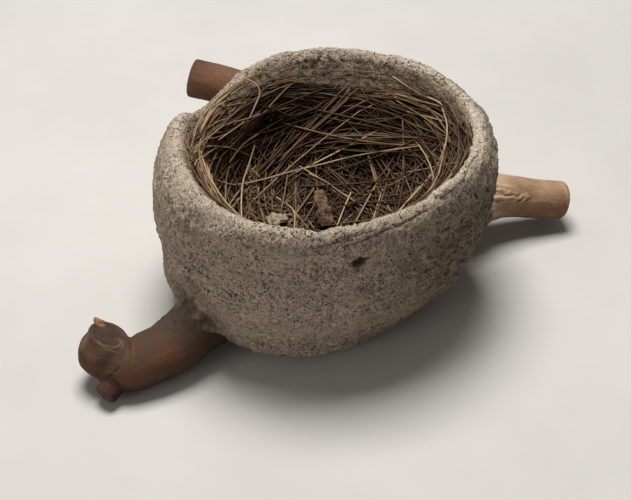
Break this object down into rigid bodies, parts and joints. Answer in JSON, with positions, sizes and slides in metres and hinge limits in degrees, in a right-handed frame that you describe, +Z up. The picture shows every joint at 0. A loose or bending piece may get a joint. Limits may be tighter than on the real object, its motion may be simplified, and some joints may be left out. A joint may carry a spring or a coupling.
{
  "type": "bird nest",
  "caption": "Empty mud cup nest built in the fork of a cut branch and lined with dry grass stems, with the branch's sawn ends standing out at its sides.",
  "frame": {"origin": "on the flat foot of the mud cup, under the middle of its rim", "axes": "+Z up through the open mouth; -Y is the side with the front limb and -X its sawn end; +X is the side of the right limb"},
  "size_m": [0.2245, 0.1937, 0.0908],
  "materials": {
    "mud": "dry unfired mud, matt and fibrous",
    "grass": "dry grass stems, slightly glossy",
    "mat": "felted dry grass and rootlets",
    "bark": "smooth peeled bark, matt, with grey mud film",
    "chip": "curled bark chip, matt",
    "leaf": "dry pale leaf, matt"
  },
  "bodies": {
    "root": {"mud_cup": "mud", "grass_lining": "mat", "front_limb": "bark", "right_limb": "bark", "rear_limb": "bark", "long_stem_01": "grass", "long_stem_02": "grass", "long_stem_03": "grass", "long_stem_04": "grass", "long_stem_05": "grass", "long_stem_06": "grass", "long_stem_07": "grass", "long_stem_08": "grass", "long_stem_09": "grass", "long_stem_10": "grass", "long_stem_11": "grass", "long_stem_12": "grass", "long_stem_13": "grass", "long_stem_14": "grass", "bark_chip": "chip", "leaf_scrap": "leaf"}
  },
  "joints": []
}
